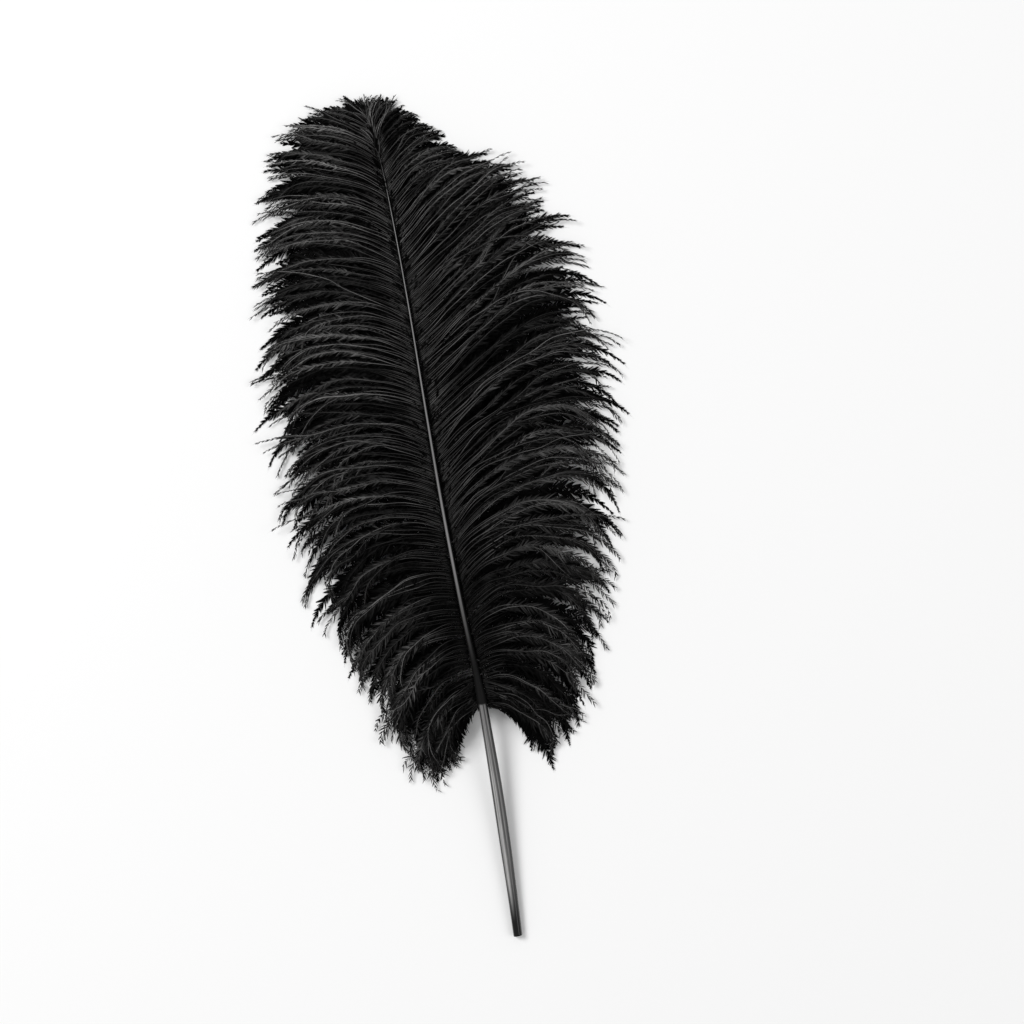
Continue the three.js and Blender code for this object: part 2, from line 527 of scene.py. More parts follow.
def cling_together(rng, row, paths):
    """The paths, drawn together into strands and locks."""
    cling = np.where(row.loose, LOOSE_CLING, rng.uniform(*CLING, row.count))
    cling = np.where(row.stray, 0.0, cling)[:, None, None]
    meet = per_group(rng, row.strands, *MEETING)[:, None]
    part = per_group(rng, row.strands, *PARTING)[:, None]
    parting = 1 - part * rise(SHARES[None, :], 0.45, 0.5)
    together = rise(SHARES[None, :], meet, 0.3) * parting
    paths = paths + (group_mean(paths, row.strands) - paths) * cling * together[:, :, None]
    lock_pull = LOCK_CLING * rise(SHARES, 0.3, 0.6)[None, :, None]
    return paths + (group_mean(paths, row.locks) - paths) * lock_pull * cling


def cut_and_wander(rng, row, paths):
    """The paths, each cut to its own length and then wandering a little."""
    ends = np.where(row.loose, rng.uniform(*LOOSE_ENDS, row.count), rng.uniform(*STRAND_ENDS, row.count))
    ends = np.where(row.stray, rng.uniform(*STRAY_ENDS, row.count), ends)
    paths = resample(paths, ends)
    turns = rng.random(row.count)[:, None] + SHARES[None, :] * rng.uniform(*WANDER_TURNS, row.count)[:, None]
    turn = 2 * np.pi * turns
    wander = np.where(row.loose, LOOSE_WANDER, WANDER)[:, None] * rise(SHARES, 0.06, 0.3)[None, :]
    paths += wander[:, :, None] * np.stack([np.cos(turn), np.sin(turn), np.sin(turn + 1)], -1)
    paths[:, :, 2] = np.maximum(paths[:, :, 2], LOWEST_BARB)
    return paths


def barb_paths(rng, row, lean):
    """Path and standing of every barb of a row. lean is the range of an extra turn, in degrees."""
    angle, lock_lean = barb_angles(rng, row, lean)
    paths = barb_plan(row, angle)
    paths[:, :, 2], standing = barb_heights(rng, row, lock_lean, paths[:, 0, 2:])
    paths = cling_together(rng, row, paths)
    return cut_and_wander(rng, row, paths), standing

# %% [markdown]
# A barb's stem is a thin rod, closed at both ends, that tapers to a point. Three sides are enough for a
# hair, and they keep the mesh small.

# %% Stems
STEM_RADIUS = 0.28
STEM_SIDES = 3
STEM_TAPER = 0.3
STEM_POINT = 0.55  # what the last part of a stem loses on top of its taper
STEM_OVAL = 1.2  # a stem is this much higher than wide
STRIPS = 180  # barbs that share one UV map
STEM_V = 0.0  # the stems' half of the map
BARBULE_V = 0.5


def frames_along(paths):
    """Forward, sideways and upward ways at every point of every path."""
    forward = unit(np.gradient(paths, axis=1))
    sideways = unit(np.cross(forward, (0, 0, 1)))
    return forward, sideways, np.cross(sideways, forward)


def strip_v(half, strip, across):
    """Place in V of a point across a barb's strip, in one half of the map."""
    return half + (strip + across) / (2 * STRIPS)


def stem_mesh(paths, strip):
    """Corners, triangles, UVs and barb numbers of the rods along these paths."""
    count = len(paths)
    forward, sideways, upward = frames_along(paths)
    point = STEM_POINT * rise(SHARES, 0.72, 0.28)
    radius = STEM_RADIUS * (1 - STEM_TAPER * SHARES - point)[None, :, None]
    turn = 2 * np.pi * np.arange(STEM_SIDES) / STEM_SIDES + np.pi / 2
    outwards = [np.cos(a) * sideways + STEM_OVAL * np.sin(a) * upward for a in turn]
    rings = np.stack([paths + radius * way for way in outwards], 2)
    rings[:, -1] = paths[:, -1, None]
    barb = np.arange(count)[:, None, None]
    step = np.arange(PATH_POINTS - 1)[None, :, None]
    edge = np.arange(STEM_SIDES)[None, None, :]
    here = (barb * PATH_POINTS + step) * STEM_SIDES + edge
    beside = (barb * PATH_POINTS + step) * STEM_SIDES + (edge + 1) % STEM_SIDES
    first = np.stack([here, beside, beside + STEM_SIDES], -1)
    second = np.stack([here, beside + STEM_SIDES, here + STEM_SIDES], -1)[:, :-1]
    cap = (np.arange(count) * PATH_POINTS * STEM_SIDES)[:, None] + np.array([[2, 1, 0]])
    triangles = np.concatenate([first.reshape(-1, 3), second.reshape(-1, 3), cap])
    point = triangles // STEM_SIDES
    u = (point % PATH_POINTS) / (PATH_POINTS - 1)
    v = strip_v(STEM_V, strip[point // PATH_POINTS], 0.2 + 0.3 * (triangles % STEM_SIDES))
    corners = rings.reshape(-1, 3)
    return corners, triangles, np.stack([u, v], -1), np.repeat(np.arange(count), PATH_POINTS * STEM_SIDES)


print("a stem is", round(2 * STEM_RADIUS, 2), "mm thick at its root")

# %% [markdown]
# Barbules stand in two rows along each stem, closer together towards its bare tip. Near the rachis the
# barbules of a strand cling in tufts, and further out each barb has its own tufts, like a fishbone.

# %% Places of the barbules
BARBULE_SPACING = 0.405
BARE_END = 0.965  # share of a barb past which it carries no barbules
STRAY_NUMBER = 0.8  # a stray barb carries this part of the usual number
FEWEST_BARBULES = 4
CROWDING = 0.6  # how much closer together they stand towards the tip
LOOSE_CROWDING = 0.4
OWN_TUFTS = 0.46  # share of a barb past which its tufts are its own
SOONER_IN_DOWN = 0.26
TUFT_PITCH = (1.9, 3.3)  # range of the distance from tuft to tuft along a strand
DOWN_PITCH = 1.15  # the down's tufts are this much further apart
MOST_TUFTS = 4096  # more than any line of barbules has


class Barbules:
    """The places of the barbules on these barbs of a row, and the tufts that they cling in."""

    def __init__(self, rng, row, barbs, paths):
        lengths = np.linalg.norm(np.diff(paths, axis=1), axis=2).sum(1)
        number = lengths * BARE_END / BARBULE_SPACING * np.where(row.stray[barbs], STRAY_NUMBER, 1)
        number = np.maximum(number.astype(int), FEWEST_BARBULES)
        barb = np.repeat(np.arange(len(paths)), number)
        order = np.arange(len(barb)) - np.repeat(np.cumsum(number) - number, number)
        share = (order + rng.random(len(barb))) / number[barb]
        crowding = np.where(row.loose[barbs], LOOSE_CROWDING, CROWDING)[barb]
        share = (share + crowding * share * (1 - share)) * BARE_END
        self.barb = np.tile(barb, 2)
        self.share = np.tile(share, 2)
        self.side = np.repeat([-1.0, 1.0], len(share))
        self.inner = self.side * row.side > 0  # inner barbules are on the side that faces the quill
        self.count = len(self.barb)
        self.length = lengths[self.barb]
        self.down = row.down[barbs][self.barb]
        self.low = row.loose[barbs][self.barb]
        self.stray = row.stray[barbs][self.barb]
        self.alone = self.share > OWN_TUFTS - SOONER_IN_DOWN * self.down
        self.tufts = self.find_tufts(rng, row.tuft_strands[barbs])

    def find_tufts(self, rng, strands):
        """Numbers the tufts: neighbours that stand together on one side of a strand or a barb."""
        line = np.where(self.alone, strands.max() + 1 + self.barb, strands[self.barb]) * 2 + (self.side > 0)
        pitch = per_group(rng, line, *TUFT_PITCH) * (1 + (DOWN_PITCH - 1) * self.down)
        place = self.share * self.length / pitch + per_group(rng, line, 0, 9)
        place += 0.35 * np.sin(2.1 * place)
        return np.unique(line * MOST_TUFTS + place.astype(int), return_inverse=True)[1]


print("a barbule every", BARBULE_SPACING, "mm on each side of a stem")

# %% [markdown]
# Barbules are longest along the middle of a barb, and longer in the down. On loose barbs they are long
# almost from the root.

# %% Reach of the barbules
ROOT_REACH = 1.6
MIDDLE_REACH = 5.4  # added away from the rachis
DOWN_REACH = 4.4  # added in the down
INNER_REACH = 1.1
OUTER_REACH = 0.85
LOOSE_REACH = 4.5
FULL_BARB = 70  # barbs shorter than this have shorter barbules
OWN_REACH = (0.75, 1.15)
LOST_IN_DOWN = (0, 0.4)
TUFT_REACH = (0.62, 1.35)
STRAY_REACH = 0.75


def barbule_reach(rng, at):
    """The length of every barbule."""
    reach = ROOT_REACH + MIDDLE_REACH * rise(at.share, 0.05, 0.4)
    reach = reach + DOWN_REACH * at.down * smoothstep(at.share / 0.25)
    reach *= np.where(at.inner, INNER_REACH, OUTER_REACH) * (1 - 0.56 * rise(at.share, 0.68, 0.28))
    low_reach = LOOSE_REACH + LOOSE_REACH * smoothstep(at.share / 0.2)
    low_reach = low_reach * (1 - 0.82 * rise(at.share, 0.7, 0.28))
    reach = np.where(at.low, low_reach, reach)
    reach *= np.minimum(0.2 + 0.8 * at.length / FULL_BARB, 1)
    reach *= rng.uniform(*OWN_REACH, at.count) - at.down * rng.uniform(*LOST_IN_DOWN, at.count)
    reach *= per_group(rng, at.tufts, *TUFT_REACH)
    return np.where(at.stray, STRAY_REACH * reach, reach)

# %% [markdown]
# A barbule sweeps towards the tip of its barb and hangs from it like a pitched roof. A tuft turns as one.

# %% Turns of the barbules
INNER_SWEEP = 26  # degrees, as are all the numbers of this cell
OUTER_SWEEP = 20
DOWN_SWEEP = 9
TIP_SWEEP = 8
LOOSE_SWEEP = 12
TUFT_SWEEP = (-10, 12)
OWN_SWEEP = (-4, 4)
ROOT_HANG = 44
LOOSE_HANG = 8
LEVELLING = 16  # barbules away from the rachis hang less
DOWN_LEVELLING = 14
TUFT_ROLL = (-26, 26)
OWN_ROLL = 8


def barbule_turns(rng, at):
    """How far every barbule is swept from its barb's own way, and rolled about it, in radians."""
    sweep = np.where(at.inner, INNER_SWEEP, OUTER_SWEEP) + DOWN_SWEEP * at.down
    sweep = sweep - TIP_SWEEP * rise(at.share, 0.4, 0.5) + LOOSE_SWEEP * at.low
    sweep = sweep + per_group(rng, at.tufts, *TUFT_SWEEP) + rng.uniform(*OWN_SWEEP, at.count)
    level = (LEVELLING + DOWN_LEVELLING * at.down) * smoothstep(at.share / 0.3)
    hang = np.where(at.low, LOOSE_HANG, ROOT_HANG - level)
    roll = per_group(rng, at.tufts, *TUFT_ROLL) - hang + rng.normal(0, OWN_ROLL, at.count)
    return np.radians(sweep), np.radians(roll)

# %% [markdown]
# Each barbule is a slim blade with one bend. The tips of a tuft are drawn towards their mean, and the bends
# with them, so a tuft closes to a point as wet hair does.

# %% Lines of the blades
BASE_GATHER = 0.55  # how far the bases of a barb's own tuft are drawn together
TIP_GATHER = 0.88
BEND_GATHER = 0.75  # part of the tips' gathering
BEND_OUT = 0.07  # part of its length by which a blade bends outwards


def along_paths(values, barb, share):
    """Values between the points of the paths, at these shares of these barbs."""
    at = np.clip(share, 0, 1) * (PATH_POINTS - 1)
    low = np.minimum(at.astype(int), PATH_POINTS - 2)
    part = (at - low)[:, None]
    return values[barb, low] * (1 - part) + values[barb, low + 1] * part


def tuft_mean(values, tufts):
    """The mean of each tuft's vectors, given back to every member."""
    sums = np.stack([np.bincount(tufts, column) for column in values.T], -1)
    return (sums / np.bincount(tufts)[:, None])[tufts]


def blade_lines(paths, at, reach, sweep, roll):
    """Base, bend and tip of every barbule, its barb's way ahead and the way it spreads."""
    ahead, sideways, above = (along_paths(way, at.barb, at.share) for way in frames_along(paths))
    across = sideways * at.side[:, None]
    spread = np.cos(roll)[:, None] * across + np.sin(roll)[:, None] * above
    base = along_paths(paths, at.barb, at.share)
    base = base + (tuft_mean(base, at.tufts) - base) * np.where(at.alone & ~at.low, BASE_GATHER, 0)[:, None]
    tip = base + reach[:, None] * (np.cos(sweep)[:, None] * ahead + np.sin(sweep)[:, None] * spread)
    low_gather = 0.2 + 0.7 * rise(at.share, 0.45, 0.35)
    gather = TIP_GATHER * smoothstep(at.share / 0.2) * (1 - 0.06 * at.down)
    gather = (gather * np.where(at.low, low_gather, 1))[:, None]
    tip = tip + (tuft_mean(tip, at.tufts) - tip) * gather
    bend = base + 0.5 * (tip - base) + (BEND_OUT * reach)[:, None] * spread
    bend = bend + (tuft_mean(bend, at.tufts) - bend) * gather * BEND_GATHER
    return base, bend, tip, ahead, spread

# %% [markdown]
# Two triangles make a blade, with their corners listed so that it faces up. Loose barbs have broader ones,
# to close the vane.

# %% Blades
BARBULE_WIDTH = 0.33
OWN_WIDTH = (0.75, 1.25)
TWIST = 0.35
LOOSE_WIDER = 2.7
LOWEST_BARBULE = 0.15
FACING_UP = [[0, 1, 3, 3, 1, 2]]  # corners: outer and inner base, tip, outer bend
FACING_DOWN = [[1, 0, 3, 1, 3, 2]]


def blade_corners(rng, at, base, bend, tip, ahead, spread):
    """The four corners of every blade."""
    line = unit(tip - base)
    flat = unit(np.cross(line, np.cross(spread, ahead)) + rng.normal(0, TWIST, (at.count, 3)))
    width = BARBULE_WIDTH * (1 - 0.1 * at.share) * rng.uniform(*OWN_WIDTH, at.count)
    low_wider = LOOSE_WIDER - 1.6 * rise(at.share, 0.45, 0.4) - 0.3 * at.down
    width *= np.where(at.low, low_wider, 1 - 0.1 * at.down)
    half = flat * (width / 2)[:, None]
    outer_side = np.sign(np.sum(half * spread, 1))[:, None]
    half = half * np.where(outer_side == 0, 1, outer_side)
    corners = np.stack([base + half, base - half, tip, bend + half], 1)
    corners[..., 2] = np.maximum(corners[..., 2], LOWEST_BARBULE)
    return corners


def barbule_mesh(rng, at, paths, strip):
    """Corners, triangles, UVs and barb numbers of all these barbules."""
    reach = barbule_reach(rng, at)
    sweep, roll = barbule_turns(rng, at)
    corners = blade_corners(rng, at, *blade_lines(paths, at, reach, sweep, roll))
    turned = np.cross(corners[:, 1] - corners[:, 0], corners[:, 2] - corners[:, 0])[:, 2] < 0
    pattern = np.where(turned[:, None], FACING_DOWN, FACING_UP)
    triangles = (np.arange(at.count)[:, None] * 4 + pattern).reshape(-1, 3)
    u = at.share[:, None] + np.array([[-0.003, 0.003, 0.0, -0.003]])
    v = strip_v(BARBULE_V, strip[at.barb][:, None], np.array([[0.2, 0.2, 0.8, 0.5]]))
    uv = np.stack([np.clip(u, 0.001, 0.999), v], -1).reshape(-1, 2)[triangles]
    return corners.reshape(-1, 3), triangles, uv, np.repeat(at.barb, 4)

# %% [markdown]
# ## Finishes
# Shader maths reads best as plain sums. A small class wraps a node's output, so that Python's own operators
# build the Math nodes.

# %% Sums of sockets
class Value:
    """A shader node's output, for sums such as (a + b) * 0.5. Without one it only makes nodes."""

    def __init__(self, tree, socket=None):
        self.tree = tree
        self.socket = socket

    def node(self, kind, settings=None, output=0, **inputs):
        """Any other node: its type, its settings, then its inputs by name."""
        made = self.tree.nodes.new(kind)
        for key, value in (settings or {}).items():
            setattr(made, key, value)
        for key, value in inputs.items():
            connect(made.inputs[key.replace("_", " ")], value)
        return Value(self.tree, made.outputs[output])

    def maths(self, operation, *others):
        """A Math node."""
        made = self.tree.nodes.new("ShaderNodeMath")
        made.operation = operation
        for socket, value in zip(made.inputs, (self, *others)):
            connect(socket, value)
        return Value(self.tree, made.outputs[0])

    def __add__(self, other):
        return self.maths("ADD", other)

    def __mul__(self, other):
        return self.maths("MULTIPLY", other)

    def __sub__(self, other):
        return self.maths("SUBTRACT", other)

    def __rsub__(self, other):
        return self * -1 + other

    __radd__ = __add__
    __rmul__ = __mul__

    def between(self, low, high):
        """A smooth rise from 0 at low to 1 at high, or a fall when low is above high."""
        value = self
        if low > high:
            value, low, high = self * -1, -low, -high
        smooth = {"interpolation_type": "SMOOTHSTEP"}
        return self.node("ShaderNodeMapRange", smooth, Value=value, From_Min=low, From_Max=high)


def connect(socket, value):
    """Links a node's output to a socket, or sets the socket to a number."""
    if isinstance(value, Value):
        socket.id_data.links.new(value.socket, socket)
    else:
        socket.default_value = value

# %% [markdown]
# A piece's own map tells a finish how far along and across a barb it is, and the frame's Y tells how far it
# is from the cut end of the quill.

# %% Places for the finishes
def uv_of(material):
    """U and V of the piece's own map."""
    uv_map = Value(material.node_tree).node("ShaderNodeUVMap", {"uv_map": UV_NAME})
    return [uv_map.node("ShaderNodeSeparateXYZ", output=axis, Vector=uv_map) for axis in ("X", "Y")]


def distance_of(material):
    """Millimetres from the cut end of the quill."""
    place = Value(material.node_tree).node("ShaderNodeTexCoord", output="Object")
    return (place.node("ShaderNodeSeparateXYZ", output="Y", Vector=place) - float(CUT_END[1])) * (1 / MM)


def noise(x, y, detail):
    """Smooth noise from 0 to 1, one blot for each unit of x and of y."""
    point = x.node("ShaderNodeCombineXYZ", X=x, Y=y)
    return x.node("ShaderNodeTexNoise", Vector=point, Scale=1.0, Detail=detail)


def grey(level, tint):
    """A colour from a level."""
    red, green, blue = (level * part for part in tint)
    return level.node("ShaderNodeCombineColor", Red=red, Green=green, Blue=blue)

# %% [markdown]
# The barbs are dyed a deep, neutral black, and no two barbs took the dye alike. Their colour also carries
# painted
# light and shade: the stems are painted lighter as a painted sheen, most on the outer part of a barb; painted
# shade darkens the barbs near the rachis and in the down, the tips of the barbules and the barbs that lie
# low; barbs that stand out are painted lighter; and a painted shadow of the rachis falls on the roots beside
# it.

# %% Black barbs
BARB_TINT = (1.0, 0.985, 0.975)
# a stem's lighter grey is a painted sheen
STEM_SHEEN_GREY = 0.115
BARBULE_GREY = 0.076  # at a barbule's base
# painted shade: barbules are painted darker towards their hanging tips
BARBULE_TIP_SHADE = 0.057  # lost of it at the barbule's tip
LEFT_SHADE = 0.1  # how much of its colour a barb loses where the rachis shades it
RIGHT_SHADE = 0.85


def stem_level(u, each_barb, distance):
    """How light a stem is: a painted sheen, darkened near the rachis by painted shade, most of all in the
    down, and lighter on the outer part of the barb.
    """
    # painted shade near the rachis, deepest in the down
    near = 0.25 + 0.6 * distance.between(240, 320)
    along = near + (1 - near) * u.between(0.04, 0.34)
    # painted sheen, lighter on the outer part of a barb
    return STEM_SHEEN_GREY * along * (0.3 + 1.1 * each_barb) * (0.8 + 0.4 * u.between(0.3, 0.7))


def barbule_level(u, strip, across, each_barb, distance):
    """How light a barbule is: painted shade darkens it towards its tip and near the rachis, and tufts differ
    at random.
    """
    tufts = noise(u * 46, strip * 0.35, 1.0)
    # painted shade: darker towards the barbule's tip and near the rachis
    level = (BARBULE_GREY - BARBULE_TIP_SHADE * across) * (0.05 + 0.95 * u.between(0.1, 0.55))
    level = level * (0.2 + 1.3 * each_barb * each_barb)
    return level * (0.12 + 1.66 * tufts.between(0.34, 0.66)) * (0.74 - 0.04 * distance.between(480, 360))


def barb_material(name, root_shade):
    """The finish of a vane, with painted light and shade in its colour; root_shade sets its painted shadow of
    the rachis.
    """
    material = plain_material(name, (0.02, 0.02, 0.02, 1), 0.42)
    shader = material.node_tree.nodes["Principled BSDF"]
    shader.inputs["Specular IOR Level"].default_value = 0.03
    u, v = uv_of(material)
    distance = distance_of(material)
    standing = u.node("ShaderNodeAttribute", {"attribute_name": STANDING}, "Fac")
    is_barbule = v.maths("GREATER_THAN", BARBULE_V)
    strip = (v * (2 * STRIPS)).maths("FLOOR")
    across = (v * (2 * STRIPS)).maths("FRACT")
    each_barb = strip.node("ShaderNodeTexWhiteNoise", {"noise_dimensions": "1D"}, W=strip)
    patches = noise(u * 9, strip * 0.21, 2.0)
    stem = stem_level(u, each_barb, distance)
    barbule = barbule_level(u, strip, across, each_barb, distance)
    level = (stem + is_barbule * (barbule - stem)) * (0.62 + 0.8 * patches.between(0.25, 0.75))
    # painted light and shade: barbs that stand out are painted up to 30% lighter, low ones nearly black
    level = level * (1 - u.between(0.1, 0.25) * (0.97 - 1.27 * standing * standing * standing))
    level = level * (0.86 + 0.14 * distance.between(290, 360) + 0.25 * distance.between(380, 470))
    # painted shadow of the rachis on the roots of the barbs, deep on the right side
    level = level * (1 - root_shade * u.between(0.028, 0.01))
    connect(shader.inputs["Base Color"], grey(level, BARB_TINT))
    return material


left_finish = barb_material("black_barbs_left_painted_shadow", LEFT_SHADE)
right_finish = barb_material("black_barbs_right_painted_shadow", RIGHT_SHADE)
print(left_finish.name, "has", len(left_finish.node_tree.nodes), "nodes")

# %% [markdown]
# ## Vanes
# So that no piece grows too large, a vane is cut into three zones along the shaft: downy, middle and top.

# %% Rows in zones
ZONE_NAMES = ("downy", "middle", "top")
ZONE_STARTS = (0, 285, 400, 1000)  # distances from the cut end


def lay_barbs(rng, side, stations, root, lean=(0, 0), loose_part=LOOSE_BARBS, stray_part=STRAY_BARBS):
    """Zone, stems, barbules and standing of one row of barbs, for each zone that has roots."""
    row = Row(rng, side, stations, np.sort(root), loose_part, stray_part)
    paths, standing = barb_paths(rng, row, lean)
    for zone in range(len(ZONE_NAMES)):
        inside = (row.root >= ZONE_STARTS[zone]) & (row.root < ZONE_STARTS[zone + 1])
        if inside.any():
            strip = np.arange(inside.sum())
            barbules = Barbules(rng, row, inside, paths[inside])
            stems = stem_mesh(paths[inside], strip)
            yield zone, stems, barbule_mesh(rng, barbules, paths[inside], strip), standing[inside]


def joined(rows):
    """One mesh from a zone's rows: all the stems, which are smooth, then all the barbules."""
    meshes = [stems for stems, _, _ in rows] + [barbules for _, barbules, _ in rows]
    firsts = np.cumsum([0] + [len(mesh[0]) for mesh in meshes[:-1]])
    corners = np.concatenate([mesh[0] for mesh in meshes])
    triangles = np.concatenate([mesh[1] + first for mesh, first in zip(meshes, firsts)])
    uv = np.concatenate([mesh[2] for mesh in meshes])
    smooth = np.arange(len(triangles)) < sum(len(stems[1]) for stems, _, _ in rows)
    standings = [standing for _, _, standing in rows] * 2
    standing = np.concatenate([values[mesh[3]] for mesh, values in zip(meshes, standings)])
    return corners, triangles, uv, smooth, standing

# %% [markdown]
# Each side has two short rows besides the long one: down at the very base, which hangs beside the top of
# the quill, and a crest of barbs that fan out over the end of the rachis.

# %% Vanes
BASE_DOWN = np.array([
    (164, 40, 112, 160, 178),
    (170, 56, 108, 150, 186),
    (178, 66, 104, 142, 182),
    (186, 76, 98, 138, 180),
])
BASE_DOWN_BARBS = 26

CREST = np.array([
    (556, 43, 24, 38, 62),
    (566, 34, 16, 28, 50),
    (576, 25, 8, 18, 36),
    (586, 16, 0, 8, 18),
])
CREST_BARBS = 22
CREST_LEAN = (-16, 20)
FEW = 0.1  # part of the crest's barbs that are loose, and that are stray
ROOT_JITTER = (-0.3, 0.3)
LEFT_SEED = 11
RIGHT_SEED = 23


def make_vane(name, side, stations, seed, finish):
    """The three pieces of a vane, which together replace its solid."""
    rng = np.random.default_rng(seed)
    row = np.linspace(FIRST_BARB, LAST_BARB, BARBS_PER_SIDE) + rng.uniform(*ROOT_JITTER, BARBS_PER_SIDE)
    base_root = rng.uniform(BASE_DOWN[0, 0], BASE_DOWN[-1, 0], BASE_DOWN_BARBS)
    crest_root = rng.uniform(CREST[0, 0], CREST[-1, 0], CREST_BARBS)
    made = [
        *lay_barbs(rng, side, stations, np.clip(row, FIRST_BARB, LAST_BARB)),
        *lay_barbs(rng, side, BASE_DOWN, base_root, loose_part=0.0, stray_part=0.0),
        *lay_barbs(rng, side, CREST, crest_root, lean=CREST_LEAN, loose_part=FEW, stray_part=FEW),
    ]
    for zone, zone_name in enumerate(ZONE_NAMES):
        corners, triangles, uv, smooth, standing = joined([part[1:] for part in made if part[0] == zone])
        piece = mesh_piece(f"{name}_{zone_name}", corners, triangles, uv, finish, smooth, standing)
        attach(piece, "root")
        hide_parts(name)


make_vane("vane_left", -1, LEFT_BARBS, LEFT_SEED, left_finish)
make_vane("vane_right", 1, RIGHT_BARBS, RIGHT_SEED, right_finish)

# %% [markdown]
# ## Shaft
# The shaft grew as one piece. The quill is a nearly round tube, cut off square, so it is open at its end.
# Where the barbs start it turns into the rachis, which is narrower, with a ridge on top and a groove below.
# It is built as rings of corners, from the bottom of the hollow, out over the rim of the cut end and on to
# the tip.

# %% Rings of the shaft
SHAFT_SIDES = 40
SHAFT_RINGS = 300
HOLLOW_DEPTH = 14.0
WALL = 0.9
RIM_ROUNDING = 0.3
NEARLY_NONE = 0.001
QUILL_END = 166.0  # the first barbs grow here


def shaft_profile():
    """Distance, part of the radius and inset from the outside of each ring."""
    rings = [(HOLLOW_DEPTH, NEARLY_NONE, 0.0), (HOLLOW_DEPTH - 0.6, 0.5, 0.0)]
    rings += [(HOLLOW_DEPTH - 1.6, 1.0, WALL)]
    rings += [(d, 1.0, WALL) for d in (9.0, 5.0, 2.5, 1.0, RIM_ROUNDING)]
    rings += [(0.07, 1.0, WALL - 0.17), (0.0, 1.0, WALL - RIM_ROUNDING), (0.0, 1.0, RIM_ROUNDING)]
    rings += [(0.07, 1.0, 0.12), (RIM_ROUNDING, 1.0, 0.0)]
    outside = np.linspace(1.0, SHAFT_LENGTH, SHAFT_RINGS)
    step_up = QUILL_END + np.array([-1.6, -0.9, -0.4, 0.0, 0.5])
    outside = np.unique(np.round(np.concatenate([outside, step_up]), 3))
    rings += [(d, 1.0, 0.0) for d in outside]
    rings += [(SHAFT_LENGTH + 0.2, 0.5, 0.0), (SHAFT_LENGTH + 0.3, NEARLY_NONE, 0.0)]
    return np.array(rings)


print("the shaft has", len(shaft_profile()), "rings of", SHAFT_SIDES, "corners")

# %% [markdown]
# The quill dried with faint facets and a crease along its top. Where the rachis starts, the skin around the
# roots of the first barbs stands out as a low sleeve with a ragged edge.

# %% Outline of the shaft
RIDGE_HEIGHT = 0.10  # parts of the radius, as are the next four
GROOVE_DEPTH = 0.30
CREASE_DEPTH = 0.045
FACETS = 0.014
SMALL_FACETS = 0.010
RACHIS_GROWS = 45  # length over which the quill turns into the rachis
SLEEVE_HEIGHT = 0.42
SLEEVE_END = 214.0


def rounded(turn, middle, width):
    """A rounded swelling from 0 to 1 at this turn about the shaft."""
    return np.exp(-((turn - middle) / width) ** 2)[None, :]


def ring_shape(distance, turn):
    """Half width and half height of the outline at each turn, as parts of its size."""
    rachis = rise(distance, QUILL_END, RACHIS_GROWS)[:, None]
    ridge = RIDGE_HEIGHT * rounded(turn, np.pi / 2, 0.5)
    groove = GROOVE_DEPTH * rounded(turn, 3 * np.pi / 2, 0.42)
    crease = CREASE_DEPTH * rounded(turn, 1.42, 0.16)
    facets = FACETS * np.cos(5 * turn + 0.4)[None, :] + SMALL_FACETS * np.cos(9 * turn + 1.1)[None, :]
    quill_part = (1 - rachis) * (facets - crease * rise(distance, 24, 50)[:, None])
    size = 1 + quill_part + rachis * (ridge - groove)
    return np.cos(turn)[None, :] * size, np.sin(turn)[None, :] * size


def sleeve_height(distance, turn):
    """How far the sleeve stands out around the shaft."""
    ragged = 1.8 * np.sin(3 * turn) + 1.1 * np.sin(7 * turn + 1) + 0.7 * np.sin(11 * turn + 2)
    past_edge = distance[:, None] - QUILL_END - ragged[None, :] * 0.5
    fade = 1 - smoothstep(past_edge / (SLEEVE_END - QUILL_END))
    return SLEEVE_HEIGHT * smoothstep(past_edge / 1.4 + 0.5) * fade


def shaft_corners():
    """The corners of every ring."""
    distance, share, inset = shaft_profile().T
    middle, _, width, depth = shaft_at(np.clip(distance, 0, SHAFT_LENGTH))
    middle[:, 1] = distance
    turn = 2 * np.pi * (np.arange(SHAFT_SIDES) + 0.5) / SHAFT_SIDES - np.pi / 2
    across, up = ring_shape(distance, np.mod(turn, 2 * np.pi))
    sleeve = sleeve_height(distance, turn)
    corners = np.repeat(middle[:, None], SHAFT_SIDES, 1)
    for axis, outline, size in ((0, across, width), (2, up, depth)):
        half = (size / 2 - inset)[:, None] * share[:, None] + sleeve * share[:, None]
        corners[:, :, axis] += outline * half
    corners[:, :, 2] = np.maximum(corners[:, :, 2], 0.0)
    return corners

# %% [markdown]
# Neighbouring rings are joined by two triangles for each side, and each end is closed by a fan. The map is
# cut open along the underside, where its seam doesn't show.

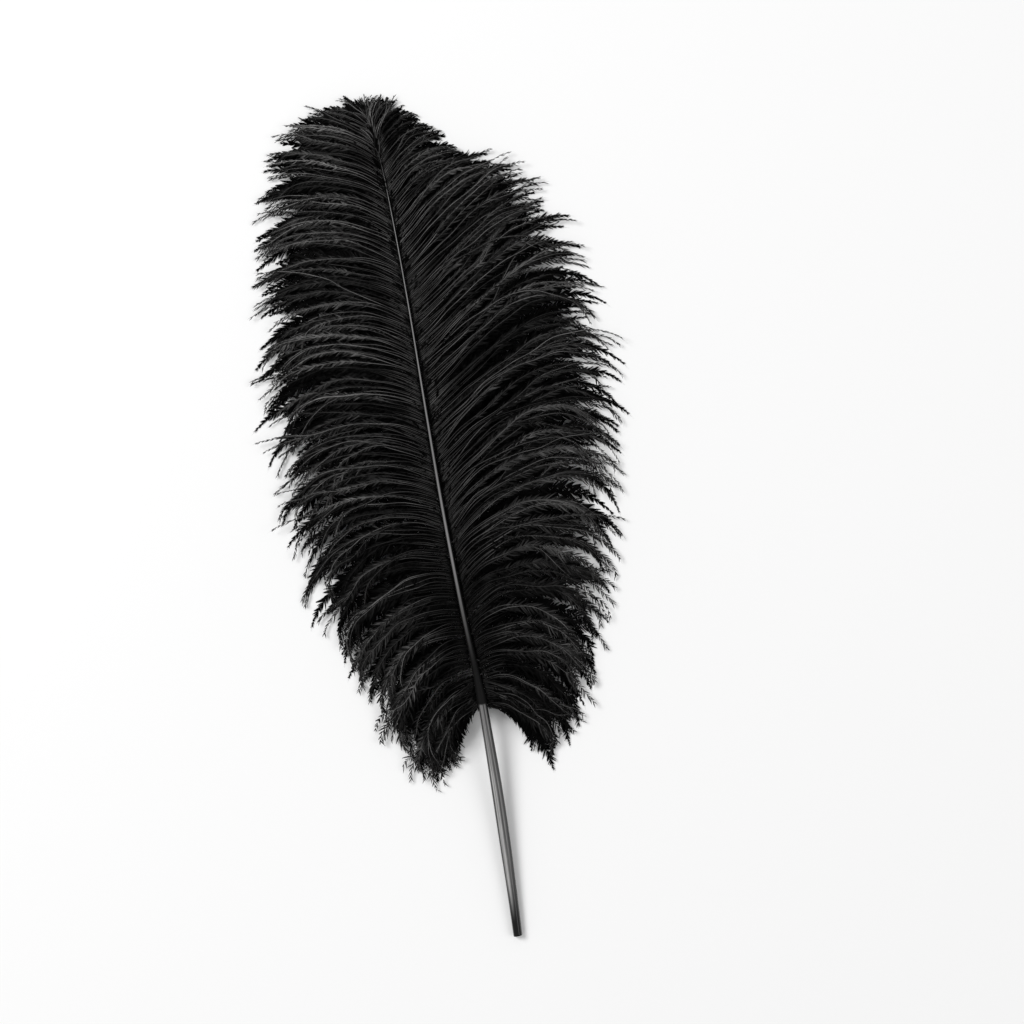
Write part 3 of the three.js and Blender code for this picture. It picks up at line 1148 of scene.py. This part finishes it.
# %% Mesh of the shaft
def shaft_mesh():
    """Corners, triangles and UVs of the shaft."""
    corners = shaft_corners()
    rings = len(corners)
    ring = np.arange(rings - 1)[:, None]
    edge = np.arange(SHAFT_SIDES)[None, :]
    here = ring * SHAFT_SIDES + edge
    beside = ring * SHAFT_SIDES + (edge + 1) % SHAFT_SIDES
    first = np.stack([here, beside + SHAFT_SIDES, beside], -1).reshape(-1, 3)
    second = np.stack([here, here + SHAFT_SIDES, beside + SHAFT_SIDES], -1).reshape(-1, 3)
    ends = [(0, k, k + 1) for k in range(1, SHAFT_SIDES - 1)]
    last = (rings - 1) * SHAFT_SIDES
    ends += [(last, last + k + 1, last + k) for k in range(1, SHAFT_SIDES - 1)]
    triangles = np.concatenate([first, second, np.array(ends)])
    corner_edge = triangles % SHAFT_SIDES
    wraps = (corner_edge == 0) & (corner_edge.max(1) == SHAFT_SIDES - 1)[:, None]
    u = (corner_edge + wraps * SHAFT_SIDES) / SHAFT_SIDES
    v = 0.005 + 0.99 * (triangles // SHAFT_SIDES) / (rings - 1)
    return corners.reshape(-1, 3), triangles, np.stack([u, v], -1)

# %% [markdown]
# The horn took less dye than the barbs. It is a streaky grey on the quill, with a painted highlight along its
# top and painted shade on its sides and underside, and glossy black towards the cut end, where it was dipped
# deepest.
# On the rachis only the ridge is light, partly its own paler horn and partly a painted highlight.

# %% Black horn
HORN_TINT = (1.0, 0.99, 0.985)
BLACKEST = 0.004
TOP_LINE = 0.515  # place of the ridge in U
RIDGE_GREY = 0.19
BARE_GREY = 0.1
PAINTED_HIGHLIGHT_GREY = 0.25


def quill_level(u, distance, streaks, broad, scuffs):
    """How light the quill is: lightest in painted highlights along its top, dark in painted shade below and
    on its sides, and dark at the cut end.
    """
    # painted highlight: two light bands along the top of the quill
    painted_highlight = u.between(0.475, 0.53) * u.between(0.625, 0.57) * (0.3 + 0.7 * distance.between(160, 90))
    second_painted_highlight = u.between(0.36, 0.395) * u.between(0.45, 0.415)
    # painted shade on the sides and underside of the quill
    shaded = (0.1 + 0.9 * u.between(0.3, 0.42)) * (0.1 + 0.9 * u.between(0.69, 0.58))
    level = shaded * (BARE_GREY + PAINTED_HIGHLIGHT_GREY * painted_highlight + 0.04 * second_painted_highlight) * (0.5 + streaks.between(0.3, 0.72))
    return (BLACKEST + distance.between(9, 44) * level) * (0.75 + 0.5 * broad) * (0.8 + 0.4 * scuffs)


def rachis_level(u, distance, streaks):
    """How light the rachis is: black, with a light line along its ridge, partly paler horn and partly a
    painted highlight, that fades at both ends.
    """
    # the ridge line is partly paler horn, partly a painted highlight
    ridge = (u - TOP_LINE).maths("ABSOLUTE").between(0.12, 0.02)
    fades = 0.1 + 0.9 * distance.between(560, 500)
    return BLACKEST + RIDGE_GREY * ridge * distance.between(190, 280) * fades * (0.6 + 0.8 * streaks)


def horn_material():
    """The finish of the shaft."""
    material = plain_material("black_horn", (0.08, 0.08, 0.08, 1), 0.35)
    shader = material.node_tree.nodes["Principled BSDF"]
    shader.inputs["Specular IOR Level"].default_value = 0.12
    shader.inputs["Coat Roughness"].default_value = 0.12
    u, _ = uv_of(material)
    distance = distance_of(material)
    streaks = noise(u * 34, distance * 0.016, 3.0)
    scuffs = noise(u * 60, distance * 0.35, 4.0)
    broad = noise(u * 3, distance * 0.04, 2.0)
    quill = distance.between(9, 44)
    sleeve = (distance - (QUILL_END + 3.5 * (scuffs - 0.5))).between(-0.6, 0.8)
    bare_again = distance.between(190, 280)
    light = quill_level(u, distance, streaks, broad, scuffs)
    level = light + sleeve * (rachis_level(u, distance, streaks) - light)
    connect(shader.inputs["Base Color"], grey(level, HORN_TINT))
    roughness = 0.2 + 0.12 * quill + 0.16 * (scuffs - 0.5) + 0.25 * sleeve * (1 - bare_again)
    connect(shader.inputs["Roughness"], roughness)
    connect(shader.inputs["Coat Weight"], (0.4 - 0.05 * quill) * (1 - sleeve) + 0.2 * bare_again)
    return material


horn_finish = horn_material()
print(horn_finish.name, "has", len(horn_finish.node_tree.nodes), "nodes")

# %% Shaft
corners, triangles, uv = shaft_mesh()
shaft = mesh_piece("shaft_horn", corners, triangles, uv, horn_finish, np.ones(len(triangles), bool))
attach(shaft, "root")
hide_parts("shaft")
